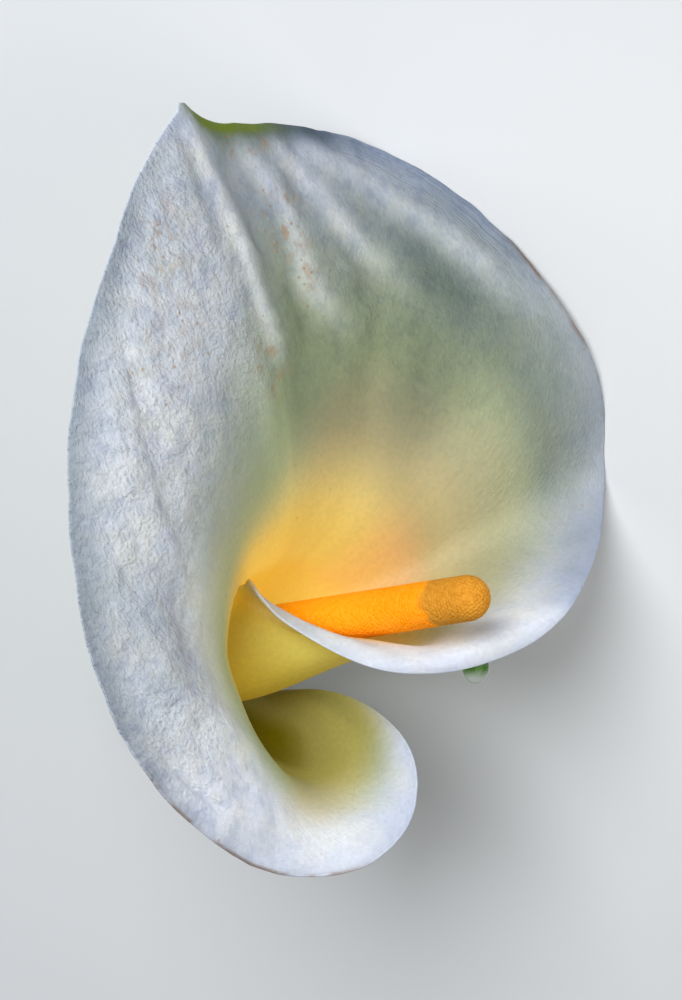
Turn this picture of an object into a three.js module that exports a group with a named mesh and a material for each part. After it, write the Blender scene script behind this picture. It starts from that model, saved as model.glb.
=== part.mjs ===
// Arum lily flower, picked, lying on a surface. Millimetres, +Z up, the surface is z = 0.
// One rolled white spathe round one spadix, on a short cut stem, with a drop of water on the lip.
import * as THREE from "three";

// Everything is drawn first on the flower's own axis: the tube's base at the origin, the axis up +Z,
// azimuths in degrees round it. layDown() then turns it into its resting pose.

// How the flower lies: its axis leans LEAN degrees from upright towards -Y, after a turn of SPIN degrees
// on itself, with the tube's base BASE_HEIGHT above the surface.
const LEAN = 63.6;
const SPIN = 80.8;
const BASE_HEIGHT = 20.3;
const MIDDLE = new THREE.Vector2(32, -35.8); // brings the middle of what it covers over the origin

// The spathe is one sheet that winds round the axis one and a half times. Each row is one line up the
// sheet: its azimuth, its lean from the axis at the base, then radius, height and lean at the throat,
// and radius, height and lean at the rim. A lean past 90 degrees turns the rim back down.
const LINES = [
  [-84, 55, 8, 14, 0, 10, 20, 0],
  [-59, 60, 8, 20, 0, 11.6, 28, 20],
  [-40, 65, 8, 25, 0, 12.4, 33, 55],
  [-18, 68, 8, 31, 0, 12.5, 37, 100],
  [4, 70, 7.5, 38, -2, 12.7, 45, 120],
  [24, 72, 7, 45, -4, 13.5, 52, 130],
  [46, 75, 6.6, 53, -6, 14.6, 61, 135],
  [68, 75, 6.6, 56, -4, 13.7, 67, 130],
  [92, 72, 7.5, 56, 2, 13.7, 72, 120],
  [118, 68, 10, 52, 8, 15, 76, 100],
  [140, 65, 12, 46, 14, 18.5, 80, 85],
  [158, 63, 13.5, 43, 20, 23.5, 84, 72],
  [172, 62, 14.5, 41, 24, 30, 84.5, 62],
  [182, 61, 15.2, 39, 28, 40.5, 81.5, 58],
  [191, 60, 15.7, 38, 30, 54.5, 76.5, 60],
  [200, 60, 16, 37, 32, 62.5, 75.5, 64],
  [208, 60, 16, 37, 33, 65, 79, 65],
  [218, 60, 16, 36, 33, 69, 82, 66],
  [229, 60, 16, 35, 34, 76, 79, 70],
  [238, 60, 16, 35, 35, 86, 71.5, 79],
  [246, 60, 15.8, 34, 36, 97, 60.5, 90],
  [252, 60, 15.6, 34, 37, 103, 51, 99],
  [261, 60, 15.4, 33, 38, 103.5, 48.5, 104],
  [272, 60, 15.2, 33, 39, 104.2, 48, 102],
  [279, 60, 15, 33, 40, 103.6, 50.5, 99],
  [285, 60, 15, 33, 41, 108.3, 54, 97],
  [293, 60, 15.5, 33, 42, 104.4, 54, 101],
  [304, 60, 17, 33, 43, 94.5, 53, 108],
  [316, 60, 19, 34, 45, 88.5, 51, 118],
  [329, 60, 22, 36, 47, 81, 48, 126],
  [343, 60, 23.5, 36, 48, 74.5, 46, 130],
  [356, 61, 23, 34, 48, 73, 47, 130],
  [369, 63, 24, 33, 48, 71.5, 49, 126],
  [382, 65, 28, 37, 47, 68.5, 50, 120],
  [396, 67, 32, 39, 42, 63.5, 50, 112],
  [409, 68, 33.5, 39, 34, 59.4, 49, 100],
  [422, 70, 33, 35, 26, 56, 52, 85],
  [433, 70, 32, 31, 20, 51, 57, 70],
  [444, 70, 30, 28, 16, 42, 59, 50],
  [453, 70, 27, 25, 12, 31, 57, 30],
  [462, 68, 23, 22, 8, 23.5, 49, 15],
  [470, 66, 19.5, 18, 4, 17.8, 38, 5],
  [477, 64, 18, 13, 2, 16.5, 28, 0],
  [483, 62, 17.5, 9, 0, 17.2, 18, 0],
  [488, 60, 16.5, 5, 0, 18, 9, 0],
];
const TUBE_RADIUS = 6.5;
const TURN_GAP = 2.5; // how far the sheet moves out in one full turn at the tube's base
const TUBE_SHARE = 0.35; // the part of each line that lies below the throat
const BASE_PULL = 0.81; // how strongly each line follows its lean at the base
const THROAT_PULL = 0.9;
const RIM_PULL = 1;
const THICKNESS = 0.9;
const MARGIN_THICKNESS = 0.7;
const MARGIN_THINNING = 6; // the higher, the closer to the margin it thins

// The spathe's pointed tip, at the end of its midrib.
const TIP_AZIMUTH = 283.2;
const TIP_REACH = 5.5;
const TIP_WIDTH = 2.4;

// Folds in the blade, seen along the axis: azimuth and radius of one end and of the other, how far the
// fold stands up inside (or sinks, if negative), and its half width.
const FOLDS = [
  [285, 110, 285, 32, -1.6, 3.6],
  [270, 98, 257, 62, 1.0, 4.5],
  [279, 95, 270, 60, -0.8, 4],
  [263, 99, 240, 80, 1.0, 5],
  [266, 92, 247, 66, -0.9, 5],
  [312, 83, 329, 58, -0.8, 2.4],
  [314, 90, 320, 80, -0.6, 2.4],
  [295, 101, 304, 91, -0.6, 2.4],
  [361, 69, 385, 62, -0.6, 2.8],
  [357, 58, 391, 42, 0.8, 4.5],
];
const FOLD_REACH = 60; // a fold only marks the turn of the sheet within this azimuth of it

const SPATHE_COLUMNS = 104;
const SPATHE_ROWS = 19;

// The spadix: a slim club covered in staggered florets, with a rounded end.
const SPADIX_FOOT = -0.4;
const SPADIX_TOP = 84.5;
const SPADIX_RADIUS = 4.9;
const SPADIX_TAPER = 0.5;
const SPADIX_END = 4.5;
const FLORETS_AROUND = 16;
const FLORET_HEIGHT = 0.45;
const SHAFT_RINGS = 52;
const END_RINGS = 7;

// The stem, bent gently as it grew, and cut square.
const STEM_LENGTH = 27;
const STEM_BEND = new THREE.Vector3(-6, 14, 0);
const STEM_RADIUS = 5.9;
const COLLAR_RADIUS = 10.2; // its top spreads under the foot of the spathe
const COLLAR_DEPTH = 5;
const STEM_TOP = -0.75;
const STEM_SIDES = 28;
const STEM_RINGS = 14;

// The drop of water that hangs behind the margin of the lip.
const DROP_AZIMUTH = 109;
const DROP_DOWN = new THREE.Vector3(0.128, 0.982, -0.142);
const DROP_HALF_WIDTH = 3.1;
const DROP_HALF_LENGTH = 4.2;
const DROP_HANG = 1.1; // its middle is this far past the margin
const DROP_SIDES = 16;
const SEAT_GAP = 0.3;

const RADIANS = Math.PI / 180;
const group = new THREE.Group();

// Resting pose
const lay = new THREE.Matrix4()
  .makeTranslation(-MIDDLE.x, -MIDDLE.y, BASE_HEIGHT)
  .multiply(new THREE.Matrix4().makeRotationX(LEAN * RADIANS))
  .multiply(new THREE.Matrix4().makeRotationZ(SPIN * RADIANS));

// Turns a point of the upright flower into the pose; what would sink below the surface is pressed flat.
function layDown(point) {
  const laid = point.clone().applyMatrix4(lay);
  laid.z = Math.max(laid.z, 0);
  return laid;
}

function meshOf(name, points, triangles, material) {
  const laid = points.map(layDown);
  const positions = new Float32Array(laid.flatMap((p) => [p.x, p.y, p.z]));
  const geometry = new THREE.BufferGeometry();
  geometry.setAttribute("position", new THREE.BufferAttribute(positions, 3));
  geometry.setIndex(triangles);
  geometry.computeVertexNormals();
  const mesh = new THREE.Mesh(geometry, new THREE.MeshStandardMaterial(material));
  mesh.name = name;
  group.add(mesh);
}

// Spathe

// The row of LINES at a place between rows, smoothed over its neighbours.
function lineAt(place) {
  const row = Math.min(Math.floor(place), LINES.length - 2);
  const f = place - row;
  const g = 1 - f;
  const weights = [
    (g * g * g) / 6,
    (3 * f * f * f - 6 * f * f + 4) / 6,
    (3 * g * g * g - 6 * g * g + 4) / 6,
    (f * f * f) / 6,
  ];
  return LINES[0].map((_, column) =>
    weights.reduce((sum, weight, k) => {
      const near = Math.min(Math.max(row - 1 + k, 0), LINES.length - 1);
      return sum + weight * LINES[near][column];
    }, 0),
  );
}

// A curve between two values with a given slope at each end.
function hermite(from, to, slopeFrom, slopeTo, t) {
  const t2 = t * t;
  const t3 = t2 * t;
  return (
    (2 * t3 - 3 * t2 + 1) * from +
    (t3 - 2 * t2 + t) * slopeFrom +
    (3 * t2 - 2 * t3) * to +
    (t3 - t2) * slopeTo
  );
}

// The radius and height at share v of the way up one line of the sheet.
function profile(line, v) {
  const [azimuth, baseLean, throatR, throatH, throatLean, rimR, rimH, rimLean] = line;
  const baseR = TUBE_RADIUS + (TURN_GAP * (azimuth - LINES[0][0])) / 360;
  const tipR = rimR + TIP_REACH * Math.exp(-Math.abs(azimuth - TIP_AZIMUTH) / TIP_WIDTH);
  const [a, b, c] = [baseLean, throatLean, rimLean].map((lean) => lean * RADIANS);
  if (v < TUBE_SHARE) {
    const t = v / TUBE_SHARE;
    const reach = Math.hypot(throatR - baseR, throatH);
    const start = reach * BASE_PULL;
    const end = reach * THROAT_PULL;
    return [
      hermite(baseR, throatR, start * Math.sin(a), end * Math.sin(b), t),
      hermite(0, throatH, start * Math.cos(a), end * Math.cos(b), t),
    ];
  }
  const t = (v - TUBE_SHARE) / (1 - TUBE_SHARE);
  const reach = Math.hypot(tipR - throatR, rimH - throatH) * RIM_PULL;
  return [
    hermite(throatR, tipR, reach * Math.sin(b), reach * Math.sin(c), t),
    hermite(throatH, rimH, reach * Math.cos(b), reach * Math.cos(c), t),
  ];
}

// How far the folds lift the sheet at a point, along its inward normal.
function foldLift(azimuth, x, y) {
  return FOLDS.reduce((sum, [azimuthA, radiusA, azimuthB, radiusB, height, halfWidth]) => {
    if (Math.abs(azimuth - (azimuthA + azimuthB) / 2) > FOLD_REACH) return sum;
    const a = new THREE.Vector2(radiusA, 0).rotateAround(new THREE.Vector2(), azimuthA * RADIANS);
    const b = new THREE.Vector2(radiusB, 0).rotateAround(new THREE.Vector2(), azimuthB * RADIANS);
    const along = b.clone().sub(a);
    const point = new THREE.Vector2(x, y).sub(a);
    const share = THREE.MathUtils.clamp(point.dot(along) / along.lengthSq(), 0, 1);
    const away = point.sub(along.multiplyScalar(share)).length() / halfWidth;
    return sum + height * Math.exp(-away * away);
  }, 0);
}

// The unit normals of a grid of points, pointing to the inside of the flower.
function gridNormals(grid) {
  const last = grid.length - 1;
  const end = grid[0].length - 1;
  return grid.map((column, i) =>
    column.map((_, j) => {
      const across = grid[Math.min(i + 1, last)][j].clone().sub(grid[Math.max(i - 1, 0)][j]);
      const up = column[Math.min(j + 1, end)].clone().sub(column[Math.max(j - 1, 0)]);
      return up.cross(across).normalize();
    }),
  );
}

// The sheet thins towards its margin.
function halfThickness(row) {
  const share = (row / SPATHE_ROWS) ** MARGIN_THINNING;
  return THREE.MathUtils.lerp(THICKNESS, MARGIN_THICKNESS, share) / 2;
}

function spatheGrid() {
  const flat = [];
  const azimuths = [];
  for (let i = 0; i <= SPATHE_COLUMNS; i += 1) {
    const line = lineAt(((LINES.length - 1) * i) / SPATHE_COLUMNS);
    const turn = line[0] * RADIANS;
    azimuths.push(line[0]);
    const column = [];
    for (let j = 0; j <= SPATHE_ROWS; j += 1) {
      const [radius, height] = profile(line, j / SPATHE_ROWS);
      column.push(new THREE.Vector3(radius * Math.cos(turn), radius * Math.sin(turn), height));
    }
    flat.push(column);
  }
  const normals = gridNormals(flat);
  const points = flat.map((column, i) =>
    column.map((point, j) =>
      point.clone().addScaledVector(normals[i][j], foldLift(azimuths[i], point.x, point.y)),
    ),
  );
  return { points, azimuths };
}

function addSpathe(grid, normals) {
  const rows = SPATHE_ROWS + 1;
  const points = [];
  for (const side of [1, -1]) {
    grid.forEach((column, i) =>
      column.forEach((point, j) => {
        points.push(point.clone().addScaledVector(normals[i][j], side * halfThickness(j)));
      }),
    );
  }
  const inner = (i, j) => i * rows + j;
  const outer = (i, j) => grid.length * rows + i * rows + j;
  const triangles = [];
  for (let i = 0; i < SPATHE_COLUMNS; i += 1) {
    for (let j = 0; j < SPATHE_ROWS; j += 1) {
      triangles.push(inner(i, j), inner(i, j + 1), inner(i + 1, j));
      triangles.push(inner(i + 1, j), inner(i, j + 1), inner(i + 1, j + 1));
      triangles.push(outer(i, j), outer(i + 1, j), outer(i, j + 1));
      triangles.push(outer(i + 1, j), outer(i + 1, j + 1), outer(i, j + 1));
    }
  }
  const edge = (a, b) => {
    triangles.push(inner(...a), outer(...b), outer(...a));
    triangles.push(inner(...a), inner(...b), outer(...b));
  };
  for (let i = 0; i < SPATHE_COLUMNS; i += 1) {
    edge([i, 0], [i + 1, 0]);
    edge([i + 1, SPATHE_ROWS], [i, SPATHE_ROWS]);
  }
  for (let j = 0; j < SPATHE_ROWS; j += 1) {
    edge([0, j + 1], [0, j]);
    edge([SPATHE_COLUMNS, j], [SPATHE_COLUMNS, j + 1]);
  }
  meshOf("spathe", points, triangles, { color: 0xeef0f3, roughness: 0.55, metalness: 0 });
}

// A closed body of rings of equal count, with a fan of triangles over each end. Its squares are split
// the other way in every second place, so that every second point can stand up as a small peak.
function ringedBody(name, rings, startCentre, endCentre, material) {
  const sides = rings[0].length;
  const points = [...rings.flat(), startCentre, endCentre];
  const start = points.length - 2;
  const end = points.length - 1;
  const triangles = [];
  for (let k = 0; k < sides; k += 1) {
    const next = (k + 1) % sides;
    const top = (rings.length - 1) * sides;
    triangles.push(start, next, k);
    triangles.push(end, top + k, top + next);
    for (let ring = 0; ring < rings.length - 1; ring += 1) {
      const [a, b] = [ring * sides + k, ring * sides + next];
      const [c, d] = [b + sides, a + sides];
      triangles.push(...((ring + k) % 2 ? [a, b, c, a, c, d] : [a, b, d, b, c, d]));
    }
  }
  meshOf(name, points, triangles, material);
}

// Spadix
function addSpadix() {
  const shaft = SPADIX_TOP - SPADIX_END - SPADIX_FOOT;
  const rings = [];
  for (let ring = 0; ring < SHAFT_RINGS + END_RINGS; ring += 1) {
    const bend = (Math.PI / 2) * Math.max(0, (ring - SHAFT_RINGS) / END_RINGS);
    const share = Math.min(ring / SHAFT_RINGS, 1);
    const height = SPADIX_FOOT + shaft * share + SPADIX_END * Math.sin(bend);
    const body = SPADIX_RADIUS - SPADIX_TAPER * share;
    const points = [];
    for (let k = 0; k < 2 * FLORETS_AROUND; k += 1) {
      const turn = (Math.PI * k) / FLORETS_AROUND;
      const peak = (ring + k) % 2 ? 0 : FLORET_HEIGHT;
      const radius = (body + peak) * Math.cos(bend);
      points.push(new THREE.Vector3(radius * Math.cos(turn), radius * Math.sin(turn), height));
    }
    rings.push(points);
  }
  const foot = new THREE.Vector3(0, 0, SPADIX_FOOT);
  const top = new THREE.Vector3(0, 0, SPADIX_TOP);
  ringedBody("spadix", rings, foot, top, { color: 0xff9e12, roughness: 0.75, metalness: 0 });
}

// Stem
function addStem() {
  const rings = [];
  const centreAt = (share) =>
    new THREE.Vector3(0, 0, STEM_TOP - STEM_LENGTH * share).addScaledVector(STEM_BEND, share * share);
  for (let ring = 0; ring <= STEM_RINGS; ring += 1) {
    const share = (1 - Math.cos((Math.PI * ring) / STEM_RINGS)) / 2;
    const centre = centreAt(share);
    const spread = (COLLAR_RADIUS - STEM_RADIUS) * Math.exp((-share * STEM_LENGTH) / COLLAR_DEPTH);
    const heading = new THREE.Vector3(0, 0, -STEM_LENGTH).addScaledVector(STEM_BEND, 2 * share);
    const tilt = new THREE.Quaternion().setFromUnitVectors(
      new THREE.Vector3(0, 0, -1),
      heading.normalize(),
    );
    const points = [];
    for (let k = 0; k < STEM_SIDES; k += 1) {
      const turn = (2 * Math.PI * k) / STEM_SIDES;
      const radius = STEM_RADIUS + spread;
      const point = new THREE.Vector3(radius * Math.cos(turn), radius * Math.sin(turn), 0);
      points.push(point.applyQuaternion(tilt).add(centre));
    }
    rings.unshift(points);
  }
  const material = { color: 0x7d9f4c, roughness: 0.6, metalness: 0 };
  ringedBody("stem", rings, centreAt(1), centreAt(0), material);
}

// Water drop
function addDrop(margin, inward) {
  const down = DROP_DOWN.clone().normalize();
  const depth = THICKNESS / 2 + SEAT_GAP + DROP_HALF_WIDTH;
  const centre = margin.clone().addScaledVector(down, DROP_HANG).addScaledVector(inward, -depth);
  const turn = new THREE.Quaternion().setFromUnitVectors(new THREE.Vector3(0, 0, 1), down);
  const place = (x, y, z) =>
    new THREE.Vector3(x * DROP_HALF_WIDTH, y * DROP_HALF_WIDTH, z * DROP_HALF_LENGTH)
      .applyQuaternion(turn)
      .add(centre);
  const rings = [];
  for (let ring = 1; ring < DROP_SIDES / 2; ring += 1) {
    const fall = (2 * Math.PI * ring) / DROP_SIDES;
    const points = [];
    for (let k = 0; k < DROP_SIDES; k += 1) {
      const round = (2 * Math.PI * k) / DROP_SIDES;
      const width = Math.sin(fall);
      points.push(place(width * Math.cos(round), width * Math.sin(round), -Math.cos(fall)));
    }
    rings.push(points);
  }
  const material = { color: 0xe4eef2, roughness: 0.05, metalness: 0 };
  ringedBody("water_drop", rings, place(0, 0, -1), place(0, 0, 1), material);
}

const sheet = spatheGrid();
const sheetNormals = gridNormals(sheet.points);
const dropColumn = sheet.azimuths.findIndex((azimuth) => azimuth >= DROP_AZIMUTH);
addSpathe(sheet.points, sheetNormals);
addSpadix();
addStem();
addDrop(sheet.points[dropColumn][SPATHE_ROWS], sheetNormals[dropColumn][SPATHE_ROWS]);

export default group;
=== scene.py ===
import math

import bpy
import numpy as np
from mathutils import Matrix, Vector, kdtree, noise


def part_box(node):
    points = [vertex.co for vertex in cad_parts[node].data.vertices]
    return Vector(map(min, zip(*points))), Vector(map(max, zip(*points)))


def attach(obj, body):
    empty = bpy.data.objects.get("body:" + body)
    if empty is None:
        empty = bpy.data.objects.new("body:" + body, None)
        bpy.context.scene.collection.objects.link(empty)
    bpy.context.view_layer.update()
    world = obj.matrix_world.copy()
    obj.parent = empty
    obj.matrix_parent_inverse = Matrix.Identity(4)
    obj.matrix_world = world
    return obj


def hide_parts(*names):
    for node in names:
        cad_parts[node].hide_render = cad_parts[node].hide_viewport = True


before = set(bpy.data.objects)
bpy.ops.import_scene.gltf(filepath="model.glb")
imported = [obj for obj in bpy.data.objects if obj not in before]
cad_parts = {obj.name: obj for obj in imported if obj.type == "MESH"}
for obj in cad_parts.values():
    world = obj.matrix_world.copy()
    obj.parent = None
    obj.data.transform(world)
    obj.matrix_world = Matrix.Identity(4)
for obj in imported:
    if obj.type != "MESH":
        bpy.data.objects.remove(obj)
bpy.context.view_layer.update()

# An arum lily flower, picked, lying on a pale surface. Sizes are in millimetres and azimuths in
# degrees on the flower's own axis, as its solids have them. MM turns them into Blender's metres.
MM = 0.001
chance = np.random.default_rng(20)
SEED_STEP = (17.3, 5.1, 9.7)

# How the flower lies: how far it leans over and is turned on its own axis, how high its base is, and
# the middle of the leaning flower, which is moved to the origin
LEAN = math.radians(63.6)
SPIN = math.radians(80.8)
BASE_HEIGHT = 20.3
MIDDLE = (32.0, -35.8)
POSE = (
    Matrix.Translation((-MIDDLE[0], -MIDDLE[1], BASE_HEIGHT))
    @ Matrix.Rotation(LEAN, 4, "X")
    @ Matrix.Rotation(SPIN, 4, "Z")
)


def turned(directions):
    """Directions on the upright flower, turned into its pose."""
    return np.asarray(directions) @ np.array(POSE.to_3x3()).T


def laid(points):
    """Points of the upright flower, in its pose, pressed flat where they would sink in."""
    placed = turned(points) + np.array(POSE.translation)
    placed[..., 2] = np.maximum(placed[..., 2], 0)
    return placed * MM


def eased(x, start, end):
    """0 before start, 1 after end, and a smooth rise between them."""
    t = np.clip((x - start) / (end - start), 0, 1)
    return t * t * (3 - 2 * t)


def window(x, rise_start, rise_end, fall_start, fall_end):
    """1 from rise_end to fall_start, and 0 before rise_start and after fall_end."""
    return eased(x, rise_start, rise_end) * (1 - eased(x, fall_start, fall_end))


def bell(x, middle, width):
    """1 in the middle, and about a third of that a width away from it."""
    return np.exp(-(((x - middle) / width) ** 2))


def rough_field(points, size, seed):
    """Smooth noise from about -1 to 1 at points, in bumps of about the given size. Each seed looks
    at another part of it."""
    shift = Vector([seed * step for step in SEED_STEP])
    flat = points.reshape(-1, 3) / size
    return np.array([noise.noise(Vector(p) + shift) for p in flat]).reshape(points.shape[:-1])


def layered(points, layers):
    """Smooth bumps in layers, each given by its height, the size of its bumps and its seed."""
    return sum(height * rough_field(points, size, seed) for height, size, seed in layers)


def read_off(table, azimuth):
    """The values of a table of azimuths and values, with straight lines between its rows."""
    places, values = np.array(table, float).T
    return np.interp(azimuth, places, values)


# Spathe: the lines of the sheet, as its solid has them. Each row is one line up the sheet: its
# azimuth, its lean at the base, then radius, height and lean at the throat and at the rim.
LINES = np.array([
    [-84, 55, 8, 14, 0, 10, 20, 0],
    [-59, 60, 8, 20, 0, 11.6, 28, 20],
    [-40, 65, 8, 25, 0, 12.4, 33, 55],
    [-18, 68, 8, 31, 0, 12.5, 37, 100],
    [4, 70, 7.5, 38, -2, 12.7, 45, 120],
    [24, 72, 7, 45, -4, 13.5, 52, 130],
    [46, 75, 6.6, 53, -6, 14.6, 61, 135],
    [68, 75, 6.6, 56, -4, 13.7, 67, 130],
    [92, 72, 7.5, 56, 2, 13.7, 72, 120],
    [118, 68, 10, 52, 8, 15, 76, 100],
    [140, 65, 12, 46, 14, 18.5, 80, 85],
    [158, 63, 13.5, 43, 20, 23.5, 84, 72],
    [172, 62, 14.5, 41, 24, 30, 84.5, 62],
    [182, 61, 15.2, 39, 28, 40.5, 81.5, 58],
    [191, 60, 15.7, 38, 30, 54.5, 76.5, 60],
    [200, 60, 16, 37, 32, 62.5, 75.5, 64],
    [208, 60, 16, 37, 33, 65, 79, 65],
    [218, 60, 16, 36, 33, 69, 82, 66],
    [229, 60, 16, 35, 34, 76, 79, 70],
    [238, 60, 16, 35, 35, 86, 71.5, 79],
    [246, 60, 15.8, 34, 36, 97, 60.5, 90],
    [252, 60, 15.6, 34, 37, 103, 51, 99],
    [261, 60, 15.4, 33, 38, 103.5, 48.5, 104],
    [272, 60, 15.2, 33, 39, 104.2, 48, 102],
    [279, 60, 15, 33, 40, 103.6, 50.5, 99],
    [285, 60, 15, 33, 41, 108.3, 54, 97],
    [293, 60, 15.5, 33, 42, 104.4, 54, 101],
    [304, 60, 17, 33, 43, 94.5, 53, 108],
    [316, 60, 19, 34, 45, 88.5, 51, 118],
    [329, 60, 22, 36, 47, 81, 48, 126],
    [343, 60, 23.5, 36, 48, 74.5, 46, 130],
    [356, 61, 23, 34, 48, 73, 47, 130],
    [369, 63, 24, 33, 48, 71.5, 49, 126],
    [382, 65, 28, 37, 47, 68.5, 50, 120],
    [396, 67, 32, 39, 42, 63.5, 50, 112],
    [409, 68, 33.5, 39, 34, 59.4, 49, 100],
    [422, 70, 33, 35, 26, 56, 52, 85],
    [433, 70, 32, 31, 20, 51, 57, 70],
    [444, 70, 30, 28, 16, 42, 59, 50],
    [453, 70, 27, 25, 12, 31, 57, 30],
    [462, 68, 23, 22, 8, 23.5, 49, 15],
    [470, 66, 19.5, 18, 4, 17.8, 38, 5],
    [477, 64, 18, 13, 2, 16.5, 28, 0],
    [483, 62, 17.5, 9, 0, 17.2, 18, 0],
    [488, 60, 16.5, 5, 0, 18, 9, 0],
])

# The tube's radius at its foot, and how much wider it is there one turn on. A line's first
# TUBE_SHARE runs from the base to the throat, and the pulls say how far it keeps its lean at both.
TUBE_RADIUS = 6.5
TURN_GAP = 2.5
TUBE_SHARE = 0.35
BASE_PULL = 0.81
THROAT_PULL = 0.9

# The sheet thins towards its margin, the later the larger MARGIN_THINNING is
THICKNESS = 0.9
MARGIN_THICKNESS = 0.7
MARGIN_THINNING = 6

# The pointed tip: where it is, how far it reaches past the rim, and its width in degrees
TIP_AZIMUTH = 283.2
TIP_REACH = 5.5
TIP_WIDTH = 2.4

# Broad folds, as the solid has them: azimuth and radius of both ends, height, half width. A fold
# marks only the turn of the sheet that it lies on, up to FOLD_REACH degrees from its middle.
FOLDS = [
    (285, 110, 285, 32, -0.6, 4.0),
    (270, 98, 257, 62, 1.0, 4.5),
    (279, 95, 270, 60, -0.8, 4),
    (263, 99, 240, 80, 1.0, 5),
    (266, 92, 247, 66, -0.9, 5),
    (312, 83, 329, 58, -0.8, 2.4),
    (314, 90, 320, 80, -0.6, 2.4),
    (295, 101, 304, 91, -0.6, 2.4),
    (361, 69, 385, 62, -0.6, 2.8),
    (357, 58, 391, 42, 0.8, 4.5),
]
FOLD_REACH = 60

# The left end of the rolled lip: how much further out its margin lies and how much higher its crest
# stands than on the solid.
LIP_REACH = 1.8
LIP_CREST = 2.8

COLUMNS = 370
ROWS = 108
MARGIN_STEPS = 4

# Veins leave the base side by side and close up towards the tip. A vein's number is about how many
# degrees from the midrib it leaves the base. VEIN_CLOSING says how fast they close up, and VEIN_END
# at which share of the way up they would all meet.
VEIN_CLOSING = 0.385
VEIN_END = 1.05

# The blade isn't quite smooth, and its margin runs in and out a little: height, size of the bumps
# and seed of each layer.
UNEVEN_BLADE = [(0.45, 13, 1), (0.48, 5.6, 2), (0.16, 2.8, 3)]
UNEVEN_MARGIN = [(0.35, 9, 4), (0.2, 3.5, 5)]

# How far a crease fades at its low and its high end, in shares of the way up, and a pleat below
# and above its low end, in millimetres from the axis.
CREASE_FADES = (0.06, 0.03)
PLEAT_FADES = (3, 11)


def smoothed_lines(places):
    """Lines at places between the rows of LINES, blended so that the sheet has no edge at a row."""
    row = np.minimum(places.astype(int), len(LINES) - 2)
    f = places - row
    g = 1 - f
    weights = (
        g**3 / 6,
        (3 * f**3 - 6 * f**2 + 4) / 6,
        (3 * g**3 - 6 * g**2 + 4) / 6,
        f**3 / 6,
    )
    rows = [LINES[np.clip(row - 1 + k, 0, len(LINES) - 1)] for k in range(4)]
    return sum(w[:, None] * r for w, r in zip(weights, rows))


def hermite(start, end, slope_start, slope_end, t):
    """A smooth curve from start to end that sets out and arrives with the given slopes."""
    t2 = t * t
    t3 = t2 * t
    return (
        (2 * t3 - 3 * t2 + 1) * start
        + (t3 - 2 * t2 + t) * slope_start
        + (3 * t2 - 2 * t3) * end
        + (t3 - t2) * slope_end
    )


def profiles(lines, share):
    """Radius and height of every line at every share of the way up it."""
    azimuth, base_lean, throat_r, throat_h, throat_lean, rim_r, rim_h, rim_lean = (
        column[:, None] for column in lines.T
    )
    base_r = TUBE_RADIUS + TURN_GAP * (azimuth - LINES[0, 0]) / 360
    tip_r = rim_r + TIP_REACH * np.exp(-np.abs(azimuth - TIP_AZIMUTH) / TIP_WIDTH)
    at_base, at_throat, at_rim = (np.radians(lean) for lean in (base_lean, throat_lean, rim_lean))
    t = np.minimum(share / TUBE_SHARE, 1)
    reach = np.hypot(throat_r - base_r, throat_h)
    start = reach * BASE_PULL
    end = reach * THROAT_PULL
    low_r = hermite(base_r, throat_r, start * np.sin(at_base), end * np.sin(at_throat), t)
    low_h = hermite(0, throat_h, start * np.cos(at_base), end * np.cos(at_throat), t)
    t = np.maximum((share - TUBE_SHARE) / (1 - TUBE_SHARE), 0)
    reach = np.hypot(tip_r - throat_r, rim_h - throat_h)
    high_r = hermite(throat_r, tip_r, reach * np.sin(at_throat), reach * np.sin(at_rim), t)
    high_h = hermite(throat_h, rim_h, reach * np.cos(at_throat), reach * np.cos(at_rim), t)
    low = share < TUBE_SHARE
    return np.where(low, low_r, high_r), np.where(low, low_h, high_h)


def off_line(azimuth, points, line):
    """How far each point lies, seen along the axis, from a line given by azimuths and radii."""
    turns, radii = np.array(line, float).T
    corners = radii[:, None] * np.stack([np.cos(np.radians(turns)), np.sin(np.radians(turns))], 1)
    away = np.full(points.shape[:2], np.inf)
    for start, end in zip(corners, corners[1:]):
        along = end - start
        to_point = points[..., :2] - start
        share = np.clip(to_point @ along / (along @ along), 0, 1)
        away = np.minimum(away, np.linalg.norm(to_point - share[..., None] * along, axis=-1))
    return np.where(np.abs(azimuth - turns.mean()) <= FOLD_REACH, away, np.inf)


def fold_lift(azimuth, points):
    """How far the broad folds raise each point inwards."""
    lift = np.zeros(points.shape[:2])
    for azimuth_a, radius_a, azimuth_b, radius_b, height, half_width in FOLDS:
        away = off_line(azimuth, points, [(azimuth_a, radius_a), (azimuth_b, radius_b)])
        lift += height * bell(away, 0, half_width)
    return lift


def unit(vectors):
    return vectors / np.linalg.norm(vectors, axis=-1, keepdims=True)


def slopes(grid):
    """How the grid changes from column to column, and from row to row."""
    return np.gradient(grid, axis=0), np.gradient(grid, axis=1)


def inward_normals(grid):
    across, up = slopes(grid)
    return unit(np.cross(up, across))


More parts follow.
